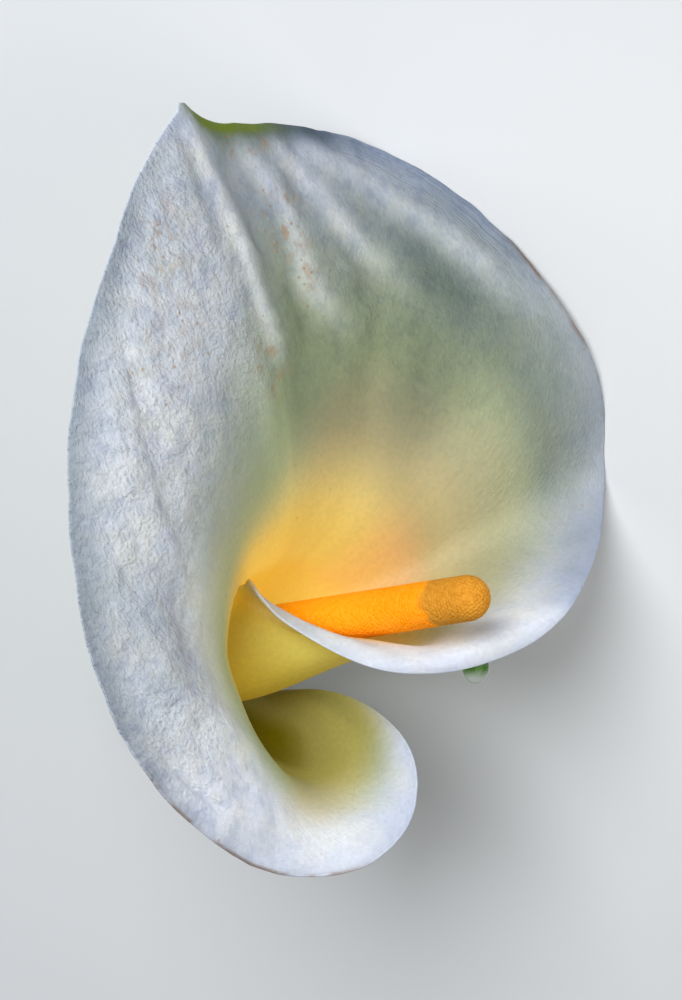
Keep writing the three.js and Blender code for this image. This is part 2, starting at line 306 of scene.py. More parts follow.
class Sheet:
    """The spathe's middle surface as a grid, and what its relief and colours go by."""

    def __init__(self):
        places = np.linspace(0, len(LINES) - 1, COLUMNS + 1)
        lines = smoothed_lines(places)
        self.share = np.linspace(0, 1, ROWS + 1)[None, :] * np.ones((COLUMNS + 1, 1))
        self.azimuth = lines[:, :1] * np.ones((1, ROWS + 1))
        radius, height = self.fuller_lip(*profiles(lines, self.share))
        turn = np.radians(self.azimuth)
        flat = np.stack([radius * np.cos(turn), radius * np.sin(turn), height], -1)
        folded = flat + inward_normals(flat) * fold_lift(self.azimuth, flat)[..., None]
        self.points = folded
        self.measure()
        relief = inward_normals(folded) * self.fine_relief()[..., None]
        self.points = folded + relief + self.frayed_rim()
        self.normals = inward_normals(self.points)

    def fuller_lip(self, radius, height):
        reach = window(self.azimuth, -74, -54, -46, -22) * eased(self.share, 0.5, 1)
        crest = window(self.azimuth, -60, -12, 20, 60) * bell(self.share, 0.75, 0.18)
        return radius + LIP_REACH * reach, height + LIP_CREST * crest

    def measure(self):
        """How far each point lies from the rim and from the tip, and where among the veins."""
        across, up = slopes(self.points)
        step = np.linalg.norm(np.diff(self.points, axis=1), axis=-1)
        height = np.concatenate([np.zeros((COLUMNS + 1, 1)), np.cumsum(step, 1)], 1)
        self.from_rim = height[:, -1:] - height
        from_midrib = self.azimuth - TIP_AZIMUTH
        self.vein = from_midrib / (VEIN_END - self.share) ** VEIN_CLOSING
        tip_column = np.argmin(np.abs(self.azimuth[:, 0] - TIP_AZIMUTH))
        self.from_tip = np.linalg.norm(self.points - self.points[tip_column, -1], axis=-1)
        # How fast the vein's number changes over the surface, whose grid is neither even nor square
        vein_across, vein_up = slopes(self.vein)
        e = (across * across).sum(-1)
        f = (across * up).sum(-1)
        g = (up * up).sum(-1)
        steep = g * vein_across**2 - 2 * f * vein_across * vein_up + e * vein_up**2
        self.veins_per_mm = np.sqrt(steep / (e * g - f * f))

    def off_vein(self, number):
        """How far a point lies from a vein, in millimetres, negative on the midrib's right."""
        return (self.vein - number) / self.veins_per_mm

    def crease(self, number, height, half_width, start, end):
        """A fold along a vein between two shares of the way up, standing inwards by height."""
        low, high = CREASE_FADES
        fade = window(self.share, start - low, start + low, end - high, end + high)
        return height * fade * bell(self.off_vein(number), 0, half_width)

    def pleat(self, line, half_width):
        """1 along a pleat's line, fading to its sides and towards its lower end."""
        from_axis = np.linalg.norm(self.points[..., :2], axis=-1)
        end = line[-1][1]
        fading = eased(from_axis, end - PLEAT_FADES[0], end + PLEAT_FADES[1])
        return fading * bell(off_line(self.azimuth, self.points, line), 0, half_width)

    def fine_relief(self):
        open_blade = eased(self.share, 0.5, 0.75) * window(self.azimuth, 215, 250, 395, 425)
        lift = sum(self.crease(*row) for row in CREASES)
        for line, height, half_width in PLEATS:
            lift = lift + height * self.pleat(line, half_width)
        return open_blade * (lift + layered(self.points, UNEVEN_BLADE))

    def frayed_rim(self):
        """How far the margin runs in and out, along the sheet."""
        near = eased(self.share, 0.93, 1) * window(self.azimuth, 110, 180, 440, 465)
        uneven = layered(self.points[:, -1:], UNEVEN_MARGIN)
        return unit(slopes(self.points)[1]) * (uneven * near)[..., None]

    def half_thickness(self):
        thinning = self.share**MARGIN_THINNING
        return (THICKNESS + (MARGIN_THICKNESS - THICKNESS) * thinning) / 2


# Pleats near the tip and the long crease of the flap, as lines of azimuths and radii seen along the
# axis. PLEATS gives each line's height, below 0 where it sinks, and its half width. PALE_PLEATS
# gives how far to its sides a line is pale, and how pale.
MIDRIB = [(284.5, 105), (284.2, 95), (284.2, 82), (283.6, 66), (281.4, 53)]
MIDRIB_VALLEY = [(282.6, 104), (281, 97), (278.5, 88), (278.5, 77), (278.3, 64)]
FIRST_PLEAT = [(275, 101), (269.9, 84), (268.7, 70), (261.3, 58.5)]
FIRST_VALLEY = [(268, 87.5), (262.3, 73.5), (259.7, 63)]
SECOND_PLEAT = [(268.3, 98.5), (260.9, 85.5), (258.7, 81.6), (256, 78.5), (252.5, 75), (249.5, 71)]
SECOND_VALLEY = [(257.5, 88.5), (250.6, 82.5), (245.3, 79)]
MARGIN_PLEAT = [
    (264, 98.5),
    (253, 93.5),
    (249.3, 88.5),
    (245.5, 85),
    (239.5, 78.5),
    (235.5, 74.5),
    (232, 71),
]
FLAP_CREASE = [(315.5, 77.5), (322.8, 69), (329.4, 60.5), (335, 50)]
PLEATS = [
    (MIDRIB, 0.4, 3.2),
    (MIDRIB_VALLEY, -0.45, 2.8),
    (FIRST_PLEAT, 0.9, 2.8),
    (FIRST_VALLEY, -0.8, 2.4),
    (SECOND_PLEAT, 1.0, 2.6),
    (SECOND_VALLEY, -0.6, 2.8),
    (MARGIN_PLEAT, 0.8, 3.2),
    (FLAP_CREASE, -0.8, 0.9),
]
PALE_PLEATS = [
    (MIDRIB, 3.4, 1.0),
    (FIRST_PLEAT, 3.4, 0.8),
    (SECOND_PLEAT, 3.0, 0.8),
    (MARGIN_PLEAT, 3.2, 0.55),
]

# Fine creases that follow a vein: its number, how far they stand up inside, their half width, and
# the shares of the way up between which they show.
CREASES = [
    (12, 0.5, 1.2, 0.80, 0.98),
    (24, -0.5, 1.2, 0.84, 0.98),
    (86, 0.5, 1.8, 0.70, 0.95),
    (120, -0.5, 1.2, 0.80, 0.95),
    (215, -0.7, 0.9, 0.86, 0.94),
    (139, 0.9, 3.0, 0.58, 0.84),
    (-118, -0.6, 1.4, 0.88, 0.97),
]


def closed_sheet(sheet):
    """Points round both faces of every column, with a rounded margin, and for each the row that it
    comes from and the side that it is on: -1 outside, 1 inside."""
    half = sheet.half_thickness()[..., None]
    up = unit(slopes(sheet.points)[1])
    points = []
    rows = []
    sides = []

    def add(row, angle, rise):
        offset = sheet.normals[:, row] * math.sin(angle) + up[:, row] * rise * math.cos(angle)
        points.append(sheet.points[:, row] + half[:, row] * offset)
        rows.append(row)
        sides.append(math.sin(angle))

    for row in range(ROWS + 1):
        add(row, -math.pi / 2, 0)
    for step in range(1, MARGIN_STEPS):
        add(ROWS, math.pi * (step / MARGIN_STEPS - 0.5), 1)
    for row in range(ROWS, -1, -1):
        add(row, math.pi / 2, 0)
    for step in range(1, MARGIN_STEPS):
        add(0, math.pi * (0.5 - step / MARGIN_STEPS), -1)
    return np.stack(points, 1), np.array(rows), np.array(sides)


def grid_faces(rings, around):
    """Squares between rings of points that close round."""
    ring, place = np.meshgrid(np.arange(rings - 1), np.arange(around), indexing="ij")
    a = ring * around + place
    b = ring * around + (place + 1) % around
    return np.stack([a, b, b + around, a + around], -1).reshape(-1, 4).tolist()


def closed_faces(rings, around):
    """Squares between rings of points, closed by triangles to a point in the middle of the first
    ring and one in the middle of the last, which come after the rings' own points."""
    faces = grid_faces(rings, around)
    middle = rings * around
    last = middle - around
    for k in range(around):
        following = (k + 1) % around
        faces.append([middle, following, k])
        faces.append([middle + 1, last + k, last + following])
    return faces


def smooth_mesh(name, points, faces, fields):
    """A piece in place, smooth shaded, with a number per point for each field of its finish."""
    mesh = bpy.data.meshes.new(name)
    mesh.from_pydata(points.reshape(-1, 3).tolist(), [], faces)
    mesh.shade_smooth()
    for field, values in fields.items():
        kind = "FLOAT_VECTOR" if values.ndim == 2 else "FLOAT"
        stored = mesh.attributes.new(field, kind, "POINT")
        stored.data.foreach_set("vector" if values.ndim == 2 else "value", values.ravel())
    mesh.validate()
    piece = bpy.data.objects.new(name, mesh)
    bpy.context.scene.collection.objects.link(piece)
    return piece


def dress(piece, node, finish):
    """The piece stands for a solid of the frame and takes its finish."""
    piece.data.materials.append(finish)
    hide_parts(node)
    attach(piece, "root")


# Where the colours of the sheet's inside end, by azimuth: how far up the throat's gold reaches and how
# softly it ends, how far up the pale green reaches, and how wide the warm halo round the gold is.
# All are shares of the way up.
GOLD_BORDER = [
    (-84, 0.9),
    (-60, 0.78),
    (-30, 0.7),
    (0, 0.64),
    (60, 0.52),
    (130, 0.5),
    (165, 0.5),
    (195, 0.52),
    (220, 0.53),
    (250, 0.51),
    (265, 0.49),
    (290, 0.46),
    (310, 0.44),
    (330, 0.42),
    (405, 0.36),
    (425, 0.4),
    (452, 0.78),
    (470, 1.1),
]
GOLD_SOFTNESS = [(220, 0.16), (285, 0.08), (330, 0.07), (400, 0.08), (440, 0.16)]
GREEN_BORDER = [
    (100, 0.5),
    (165, 0.7),
    (200, 0.86),
    (230, 0.92),
    (245, 0.88),
    (262, 0.81),
    (275, 0.84),
    (290, 0.7),
    (320, 0.62),
    (400, 0.6),
    (430, 0.7),
    (450, 0.85),
]
HALO_WIDTH = [(190, 0.38), (222, 0.34), (248, 0.24), (290, 0.12)]

# Where the brown specks gather: azimuth and its reach, share of the way up and its reach, amount.
FRECKLE_PLACES = [
    (271, 4.5, 0.86, 0.045, 1.0),
    (269, 3.5, 0.77, 0.04, 0.6),
    (286, 6, 0.66, 0.05, 0.8),
    (274, 5, 0.97, 0.02, 0.8),
    (298, 5, 0.93, 0.03, 0.6),
    (305, 16, 0.85, 0.1, 0.25),
]


def paleness(sheet):
    """How far the pleats stand out white from the bowl, from 0 to 1."""
    pale = np.zeros(sheet.share.shape)
    for line, width, most in PALE_PLEATS:
        pale = np.maximum(pale, most * sheet.pleat(line, width))
    return pale


def painted_shade_amount(sheet, pale):
    """How far painted shade darkens the sheet's inside below its white lip and curl, from 0 to 1."""
    azimuth = sheet.azimuth
    share = sheet.share
    bowl = window(azimuth, 160, 212, 278, 294) * eased(share, 0.44, 0.66)
    right = window(azimuth, 185, 200, 226, 242) * window(share, 0.5, 0.6, 0.74, 0.86)
    under_tip = window(azimuth, 242, 252, 280, 290) * eased(share, 0.55, 0.65)
    bowl = bowl * (1 - 0.95 * pale) * (1 - 0.3 * np.exp(-sheet.from_rim / 6))
    bowl = bowl * (1 - 0.45 * right) * (1 - 0.26 * under_tip)
    bowl = bowl + 0.28 * bell(azimuth, 247, 9) * bell(share, 0.86, 0.06) * (1 - pale)
    top = window(azimuth, 254, 262, 278, 283) * bell(sheet.from_rim, 0, 4)
    flap = window(azimuth, 278, 294, 370, 397) * eased(share, 0.5, 0.75)
    fold = window(azimuth, 286, 300, 325, 350) * bell(share, 0.6, 0.12)
    edge = window(azimuth, 286, 300, 350, 400) * bell(sheet.from_rim, 0, 5)
    hollow = bell(azimuth, 354, 12) * bell(share, 0.8, 0.14)
    cup = eased(azimuth, 436, 450) * (1 - eased(share, 0.75, 1.0))
    sides = 0.27 * flap + 0.36 * fold + 0.41 * edge + 0.27 * hollow
    return np.clip(0.83 * bowl + 0.6 * top + sides + 0.24 * cup, 0, 1)


def bluer(sheet, pale):
    """How far a bluish shade lies on the upper margin, the lip's right end and the curl's edge."""
    azimuth = sheet.azimuth
    share = sheet.share
    margin = 0.24 * eased(share, 0.78, 0.88) * (1 - 0.5 * pale) + 0.5 * bell(sheet.from_rim, 0, 5)
    margin = margin * window(azimuth, 228, 242, 276, 284)
    lip = 0.5 * window(azimuth, 160, 170, 188, 200) * eased(share, 0.8, 0.95)
    curl = 0.3 * window(azimuth, 424, 440, 470, 480) * eased(share, 0.62, 0.85)
    return np.clip(margin + lip + curl, 0, 1)


def freckles(sheet):
    """Where the brown specks gather, from 0 to 1."""
    gathered = sum(
        amount * bell(sheet.azimuth, azimuth, reach) * bell(sheet.share, share, up)
        for azimuth, reach, share, up, amount in FRECKLE_PLACES
    )
    return np.clip(gathered, 0, 1)


def colour_fields(sheet):
    """Where the sheet's colours lie, as smooth formulas of the place on it."""
    azimuth = sheet.azimuth
    share = sheet.share
    border = read_off(GOLD_BORDER, azimuth)
    soft = read_off(GOLD_SOFTNESS, azimuth)
    halo_end = border + read_off(HALO_WIDTH, azimuth)
    greens = read_off(GREEN_BORDER, azimuth)
    pale = paleness(sheet)
    halo = window(azimuth, 150, 190, 262, 292) * (1 - eased(share, border + 0.04, halo_end))
    curled = window(azimuth, 402, 420, 444, 458) * window(share, 0.4, 0.52, 0.6, 0.84)
    near_rim = 1.2 * bell(sheet.from_rim, 0, 2.0) + 0.3 * bell(sheet.from_rim, 0, 7)
    throat = window(azimuth, 170, 188, 255, 285) * window(share, 0.28, 0.38, 0.54, 0.66)
    throat_end = window(azimuth, 170, 182, 210, 240) * window(share, 0.25, 0.34, 0.46, 0.58)
    tube_gold = (1 - 0.25 * eased(share, 0.12, 0.3)) * (1 - eased(share, 0.7, 0.92))
    worn = window(azimuth, 216, 226, 234, 240) + window(azimuth, 372, 385, 420, 436)
    return {
        "gold_inside": 1 - eased(share, border - soft, border + soft),
        "gold_outside": tube_gold * window(azimuth, -90, -84, 118, 150),
        "halo": halo + 0.7 * curled,
        "glow": window(azimuth, 170, 200, 305, 335) * (1 - eased(share, 0.18, 0.56)),
        "leaf": (1 - eased(share, greens - 0.17, greens + 0.13)) * (1 - 0.6 * pale),
        "tip_green": window(azimuth, 262, 274, 281, 284.5) * np.clip(near_rim, 0, 1),
        "worn_rim": np.clip(worn, 0, 1) * np.exp(-sheet.from_rim / 0.2),
        "rim": np.exp(-sheet.from_rim / 4.5),
        "painted_shade": painted_shade_amount(sheet, pale),
        "blue_shade": bluer(sheet, pale),
        "throat_shade": 0.42 * throat,
        "tan_shade": 0.8 * throat_end,
        "last_turn": eased(azimuth, 402, 432),
        "painted_cup_shade": window(azimuth, 436, 444, 458, 472) * (1 - eased(share, 0.26, 0.46)),
        "lip_glow": bell(azimuth, 160, 10) * bell(share, 0.76, 0.12),
        "freckled": freckles(sheet),
        "foot": 1 - eased(share, 0.02, 0.16),
        "crinkled": eased(share, 0.52, 0.75) * window(azimuth, 205, 250, 390, 425),
        "creped": eased(share, 0.52, 0.75) * (0.25 + 0.75 * window(azimuth, 279, 290, 372, 402)),
        "strip": window(azimuth, 226, 240, 262, 272) * eased(share, 0.94, 0.965),
    }


def make_spathe(finish):
    sheet = Sheet()
    points, rows, sides = closed_sheet(sheet)
    around = len(rows)
    count = len(points)
    faces = grid_faces(count, around)
    # Both end edges of the sheet are closed by a row of squares across its thickness
    first = list(range(around))[::-1]
    last = [(count - 1) * around + place for place in range(around)]
    for ring in (first, last):
        for k in range(around // 2 - 1):
            faces.append([ring[k], ring[k + 1], ring[-k - 2], ring[-k - 1]])
    fields = {name: values[:, rows].ravel() for name, values in colour_fields(sheet).items()}
    outside = (np.ones((count, 1)) * (0.5 - 0.5 * sides)).ravel()
    gold_inside = fields.pop("gold_inside") * (1 - outside)
    fields["outside"] = outside
    fields["gold"] = gold_inside + fields.pop("gold_outside") * outside
    # The vein's number and the ways from the tip and from the rim, for marks that follow them
    place = np.stack([sheet.vein, sheet.from_tip, sheet.from_rim], -1)
    fields["sheet_place"] = place[:, rows].reshape(-1, 3)
    spathe = smooth_mesh("white_spathe", laid(points), faces, fields)
    dress(spathe, "spathe", finish)


# Shader maths
class Value:
    """A number or colour that changes over a surface. Expressions on numbers add Math nodes."""

    def __init__(self, finish, socket):
        self.finish = finish
        self.socket = socket

    def math(self, operation, first, second):
        return self.finish.node("ShaderNodeMath", {"operation": operation}, {0: first, 1: second})

    def __add__(self, other):
        return self.math("ADD", self, other)

    def __mul__(self, other):
        return self.math("MULTIPLY", self, other)

    def __rsub__(self, other):
        return self.math("SUBTRACT", other, self)

    __radd__ = __add__
    __rmul__ = __mul__

    def ramp(self, start, end):
        """0 at start, 1 at end, smooth between them."""
        settings = {"interpolation_type": "SMOOTHSTEP"}
        return self.finish.node("ShaderNodeMapRange", settings, {0: self, 1: start, 2: end})


class Finish:
    """One material, built node by node."""

    def __init__(self, name):
        self.material = bpy.data.materials.new(name)
        self.material.use_nodes = True
        self.tree = self.material.node_tree
        self.tree.nodes.clear()
        self.where = self.node("ShaderNodeTexCoord", output="Object")

    def node(self, kind, settings=None, inputs=None, output=0):
        """One output of a new node, whose settings are made before its sockets are filled or
        linked."""
        made = self.tree.nodes.new(kind)
        for setting, value in (settings or {}).items():
            setattr(made, setting, value)
        for key, value in (inputs or {}).items():
            if isinstance(value, Value):
                self.tree.links.new(value.socket, made.inputs[key])
            else:
                made.inputs[key].default_value = value
        return Value(self, made.outputs[output])

    def field(self, name):
        """A number that the piece carries at each of its points."""
        return self.node("ShaderNodeAttribute", {"attribute_name": name}, output="Fac")

    def vector_field(self, name, stretch):
        """Three numbers that the piece carries at each of its points, each multiplied."""
        stored = self.node("ShaderNodeAttribute", {"attribute_name": name}, output="Vector")
        return self.node("ShaderNodeVectorMath", {"operation": "MULTIPLY"}, {0: stored, 1: stretch})

    def noise(self, size, detail, where=None, roughness=0.5):
        """Noise from 0 to 1, in bumps of about the given size in metres. Detail adds smaller bumps,
        and roughness makes them stronger."""
        inputs = {"Vector": where or self.where, "Scale": 1 / size, "Detail": detail}
        inputs["Roughness"] = roughness
        return self.node("ShaderNodeTexNoise", {}, inputs, output="Fac")

    def spots(self, size, output="Distance"):
        """Cells of about the given size in metres: how far a point lies from their middles, or a
        colour of each cell's own."""
        inputs = {"Vector": self.where, "Scale": 1 / size}
        return self.node("ShaderNodeTexVoronoi", {}, inputs, output=output)

    def mix(self, amount, first, second):
        """The first colour, turning into the second as amount goes from 0 to 1."""
        inputs = {0: amount, 6: first, 7: second}
        return self.node("ShaderNodeMix", {"data_type": "RGBA"}, inputs, output=2)

    def tint(self, amount, first, multiplier):
        """The first colour multiplied by another as far as amount goes, which paints shade and darker
        tones.
        """
        settings = {"data_type": "RGBA", "blend_type": "MULTIPLY"}
        return self.node("ShaderNodeMix", settings, {0: amount, 6: first, 7: multiplier}, output=2)

    def bump(self, height, distance, strength):
        """Normals as if the surface stood up by height times distance, which is in metres."""
        inputs = {"Strength": strength, "Distance": distance, "Height": height}
        return self.node("ShaderNodeBump", {}, inputs, output="Normal")

    def end(self, shader):
        surface = self.tree.nodes.new("ShaderNodeOutputMaterial").inputs["Surface"]
        self.tree.links.new(shader.socket, surface)
        return self.material


def colour(red, green, blue):
    """A colour by its usual 0 to 255 values, as Blender's linear light."""
    shares = [c / 255 for c in (red, green, blue)]
    linear = [((c + 0.055) / 1.055) ** 2.4 if c > 0.04 else c / 12.92 for c in shares]
    return (*linear, 1.0)


# Colours of the spathe, among them painted shades, the painted glow that stands in for light coming
# through its throat and its lip, and how much of what is seen of the sheet is light that comes through
# it
WHITE = colour(240, 242, 246)
BLUISH = colour(214, 222, 240)
CREAM = colour(238, 235, 220)
SHADOWED = colour(206, 214, 218)
PAINTED_SHADE_GREY = colour(128, 139, 139)
SLATE = colour(214, 220, 232)
PALE_GREEN = colour(186, 198, 142)
GOLD = colour(255, 221, 120)
TUBE_GOLD = colour(224, 207, 70)
HALO = colour(232, 210, 160)
CUP_SHADE_OLIVE = colour(190, 184, 20)
OLIVE = colour(200, 190, 106)
TIP_GREEN = colour(114, 134, 6)
FOOT_GREEN = colour(128, 156, 64)
OCHRE = colour(172, 130, 80)
BLUE_SHADE = colour(178, 190, 214)
THROAT_SHADE = colour(212, 216, 226)
TAN_SHADE = colour(246, 210, 226)
BROWN = colour(134, 98, 44)
NO_LIGHT = (0.0, 0.0, 0.0, 1.0)
LIP_LIGHT = colour(124, 125, 128)
THROAT_LIGHT = colour(198, 166, 58)
SEEN_THROUGH = 0.3


def spathe_finish():
    paint = Finish("lily_spathe")
    blotch = paint.noise(0.011, 3).ramp(0.36, 0.66)
    cloud = paint.noise(0.006, 3, roughness=0.6).ramp(0.4, 0.68)
    grain = paint.noise(0.0011, 2).ramp(0.3, 0.75)
    shade = paint.mix(blotch * 0.45, WHITE, BLUISH)
    shade = paint.mix(cloud * 0.35, shade, CREAM)
    shade = paint.mix(paint.noise(0.0085, 4).ramp(0.5, 0.72) * 0.45, shade, SHADOWED)
    # Painted shade: the sheet turns bluish towards its margin
    shade = paint.mix(paint.field("rim") * 0.6, shade, BLUISH)
    shade = paint.mix(paint.field("leaf") * 0.85, shade, PALE_GREEN)
    outside = paint.field("outside")
    shade = paint.mix(paint.field("halo") * (1 - outside) * 0.8, shade, HALO)
    throat = paint.mix(paint.field("last_turn"), GOLD, OLIVE)
    throat = paint.mix(outside, throat, TUBE_GOLD)
    shade = paint.mix(paint.field("gold"), shade, throat)
    veins = paint.noise(1.0, 1, where=paint.vector_field("sheet_place", (0.9, 0.012, 0.0)))
    shade = paint.tint(veins.ramp(0.55, 0.75) * 0.15, shade, SHADOWED)
    shade = paint.tint(grain * 0.2, shade, SHADOWED)
    inside = 1 - outside
    # Painted shade: a grey-green darkening over the bowl, the flap's fold and edge, the hollow and the
    # cup
    shade = paint.tint(paint.field("painted_shade") * inside, shade, PAINTED_SHADE_GREY)
    shade = paint.tint(paint.field("blue_shade") * inside, shade, BLUE_SHADE)
    # Painted shade: an olive darkening deep in the curl's cup
    shade = paint.tint(paint.field("painted_cup_shade") * inside, shade, CUP_SHADE_OLIVE)
    shade = paint.tint(paint.field("throat_shade") * inside, shade, THROAT_SHADE)
    shade = paint.tint(paint.field("tan_shade") * inside, shade, TAN_SHADE)
    shade = paint.mix(paint.field("foot") * outside, shade, FOOT_GREEN)
    # Partly the blade's own uneven tone, partly painted shade of its dents: a slate tint in patches
    crinkle_tone_and_shade = paint.noise(0.0034, 3, roughness=0.6).ramp(0.44, 0.66) * paint.field("crinkled")
    shade = paint.tint(crinkle_tone_and_shade * 0.5, shade, SLATE)
    shade = paint.mix(paint.field("tip_green"), shade, TIP_GREEN)
    chosen = paint.spots(0.0016, output="Color")
    lucky = paint.node("ShaderNodeSeparateColor", {}, {0: chosen}, output="Red")
    dot = 1 - (paint.spots(0.0016) + grain * 0.12).ramp(0.1, 0.36)
    freckle = dot * (lucky + paint.field("freckled") * 0.6).ramp(0.96, 1.02)
    shade = paint.mix(freckle * 0.7, shade, OCHRE)
    stain = paint.field("freckled") * paint.noise(0.0028, 3).ramp(0.48, 0.66)
    shade = paint.mix(stain * 0.65, shade, OCHRE)
    worn = paint.field("worn_rim") * paint.noise(0.009, 3).ramp(0.4, 0.62) * 0.7
    shade = paint.mix(worn, shade, BROWN)

    strokes = paint.noise(1.0, 2, where=paint.vector_field("sheet_place", (0.36, 1.1, 0.0)))
    pleats = paint.noise(1.0, 1, where=paint.vector_field("sheet_place", (1.1, 0.02, 0.0)))
    dents = paint.noise(0.003, 3)
    lines = paint.noise(1.0, 1, where=paint.vector_field("sheet_place", (0.03, 0.0, 1.5)))
    crinkle = strokes * 0.34 + dents * 0.75 + pleats * 0.08 + paint.noise(0.0008, 1) * 0.3
    height = crinkle * (paint.field("creped") * 0.9 + 0.06) + lines * paint.field("strip") * 0.3
    normal = paint.bump(height, 0.0014, 0.9)
    roughness = 0.46 + grain * 0.12
    # Painted glow: emission in the throat, on the outer tube and on the lip, in place of light through
    # them
    glowing = paint.field("glow") * inside + paint.field("gold") * outside * 0.22
    glow_light = paint.mix(glowing, NO_LIGHT, THROAT_LIGHT)
    glow_light = paint.mix(paint.field("lip_glow") * inside, glow_light, LIP_LIGHT)
    skin = paint.node(
        "ShaderNodeBsdfPrincipled",
        {},
        {
            "Base Color": shade,
            "Roughness": roughness,
            "Specular IOR Level": 0.35,
            "Normal": normal,
            "Emission Color": glow_light,
            "Emission Strength": 1.0,
        },
    )
    glow = paint.node("ShaderNodeBsdfTranslucent", {}, {"Color": shade, "Normal": normal})
    both = paint.node("ShaderNodeMixShader", {}, {0: SEEN_THROUGH, 1: skin, 2: glow})
    return paint.end(both)


# Spadix: a club packed with tiny florets. A floret reaches FLORET_REACH of the pitch from its middle.
# CAP_BORDER is where the tan end begins and CAP_RAGGED is how ragged it does: height, size and seed
# of its waves. DEEP_IN is where the club comes out of the shade of the throat.
SPADIX_FOOT = -0.4
SPADIX_TOP = 84.5
SPADIX_RADIUS = 4.9
SPADIX_TAPER = 0.5
SPADIX_END = 4.5
SPADIX_SWELL = 0.1
FLORET_PITCH = 0.78
FLORET_HEIGHT = 0.22
FLORET_REACH = 0.58
FLORET_SIZES = (0.85, 1.1)
FLORET_JITTER = 0.16
PROFILE_STEPS = 40
CAP_BORDER = (70.5, 73)
CAP_RAGGED = (1.2, 2.2, 6)
DEEP_IN = (30, 64)
SPADIX_STEP = 0.17
SPADIX_AROUND = 176


def club_profile(step):
    """Radius and height along the club at even steps, from its foot to the middle of its end."""
    foot = SPADIX_FOOT
    shoulder = SPADIX_TOP - SPADIX_END
    body_end = SPADIX_RADIUS - SPADIX_TAPER + SPADIX_SWELL
    shaft = np.linspace(0, 1, PROFILE_STEPS)
    bend = np.linspace(0, math.pi / 2, PROFILE_STEPS)[1:]
    shaft_radius = SPADIX_RADIUS + SPADIX_SWELL - SPADIX_TAPER * shaft
    radius = np.concatenate([shaft_radius, body_end * np.cos(bend)])
    shaft_height = foot + (shoulder - foot) * shaft
    height = np.concatenate([shaft_height, shoulder + SPADIX_END * np.sin(bend)])
    length = np.concatenate([[0], np.cumsum(np.hypot(np.diff(radius), np.diff(height)))])
    even = np.linspace(0, length[-1], int(length[-1] / step) + 1)
    return np.interp(even, length, radius), np.interp(even, length, height)


def floret_centres():
    """In rings round the club, every second ring half a floret on, and each a little out of place."""
    radius, height = club_profile(FLORET_PITCH)
    centres = []
    for ring, (r, h) in enumerate(zip(radius, height)):
        around = max(1, round(2 * math.pi * r / FLORET_PITCH))
        for k in range(around):
            nudge = chance.uniform(-FLORET_JITTER, FLORET_JITTER, 2)
            turn = 2 * math.pi * (k + ring % 2 / 2 + nudge[0]) / around
            centres.append((r * math.cos(turn), r * math.sin(turn), h + nudge[1] * FLORET_PITCH))
    return centres


def make_spadix(finish):
    radius, height = club_profile(SPADIX_STEP)
    turn = np.linspace(0, 2 * math.pi, SPADIX_AROUND, endpoint=False)
    body = np.stack(
        [
            radius[:-1, None] * np.cos(turn),
            radius[:-1, None] * np.sin(turn),
            height[:-1, None] * np.ones(SPADIX_AROUND),
        ],
        -1,
    )
    centres = floret_centres()
    tree = kdtree.KDTree(len(centres))
    for k, centre in enumerate(centres):
        tree.insert(centre, k)
    tree.balance()
    small, large = FLORET_SIZES
    sizes = chance.uniform(small, large, len(centres))
    found = [tree.find(p) for p in body.reshape(-1, 3)]
    size = np.array([sizes[number] for _, number, _ in found])
    away = np.array([distance for _, _, distance in found]) / (FLORET_REACH * FLORET_PITCH * size)
    dome = np.sqrt(np.clip(1 - away**2, 0, 1)).reshape(body.shape[:2])
    tilt = np.arctan2(-np.gradient(radius), np.gradient(height))[:-1, None]
    rise = np.sin(tilt) * np.ones(SPADIX_AROUND)
    outward = np.stack([np.cos(tilt) * np.cos(turn), np.cos(tilt) * np.sin(turn), rise], -1)
    points = body + outward * (FLORET_HEIGHT * dome)[..., None]
    up_club = points[..., 2]
    ragged = layered(points, [CAP_RAGGED])
    ends = np.array([[0, 0, SPADIX_FOOT], [0, 0, SPADIX_TOP]], float)
    every = np.concatenate([points.reshape(-1, 3), ends])
    faces = closed_faces(len(points), SPADIX_AROUND)
    fields = {
        "crevice": np.concatenate([1 - dome.ravel(), [1, 0]]),
        "tone": np.concatenate([(size - small) / (large - small), [0.5, 0.5]]),
        "shaded": np.concatenate([(1 - eased(up_club, *DEEP_IN)).ravel(), [1, 0]]),
        "towards_end": np.concatenate([eased(up_club + ragged, *CAP_BORDER).ravel(), [0, 1]]),
    }
    spadix = smooth_mesh("orange_spadix", laid(every), faces, fields)
    dress(spadix, "spadix", finish)


POLLEN_ORANGE = colour(252, 142, 0)
SHADED_POLLEN = colour(250, 158, 0)
CREVICE_SHADE_ORANGE = colour(240, 130, 0)
PALE_POLLEN = colour(255, 200, 80)
TAN = colour(190, 125, 32)
PALE_TAN = colour(215, 158, 58)
CREVICE_SHADE_TAN = colour(158, 88, 14)


def spadix_finish():
    paint = Finish("lily_spadix")
    tone = paint.field("tone")
    crevice = paint.field("crevice")
    end = paint.field("towards_end")
    body = paint.mix(paint.field("shaded"), POLLEN_ORANGE, SHADED_POLLEN)
    body = paint.mix(tone * 0.12, body, PALE_POLLEN)
    # Painted shade: darker orange and tan in the crevices between the florets
    body = paint.mix(crevice.ramp(0.35, 1.0) * 0.28, body, CREVICE_SHADE_ORANGE)
    cap = paint.mix(tone * 0.3, TAN, PALE_TAN)
    cap = paint.mix(crevice.ramp(0.35, 1.0) * 0.32, cap, CREVICE_SHADE_TAN)
    shade = paint.mix(end, body, cap)
    dust = paint.noise(0.00022, 2).ramp(0.5, 0.75)
    shade = paint.mix(dust * 0.1, shade, PALE_POLLEN)
    normal = paint.bump(paint.noise(0.00016, 2), 0.00005, 0.7)
    skin = paint.node(
        "ShaderNodeBsdfPrincipled",
        {},
        {
            "Base Color": shade,
            "Roughness": 0.8 - dust * 0.1,
            "Specular IOR Level": 0.1,
            "Normal": normal,
        },
    )
    return paint.end(skin)


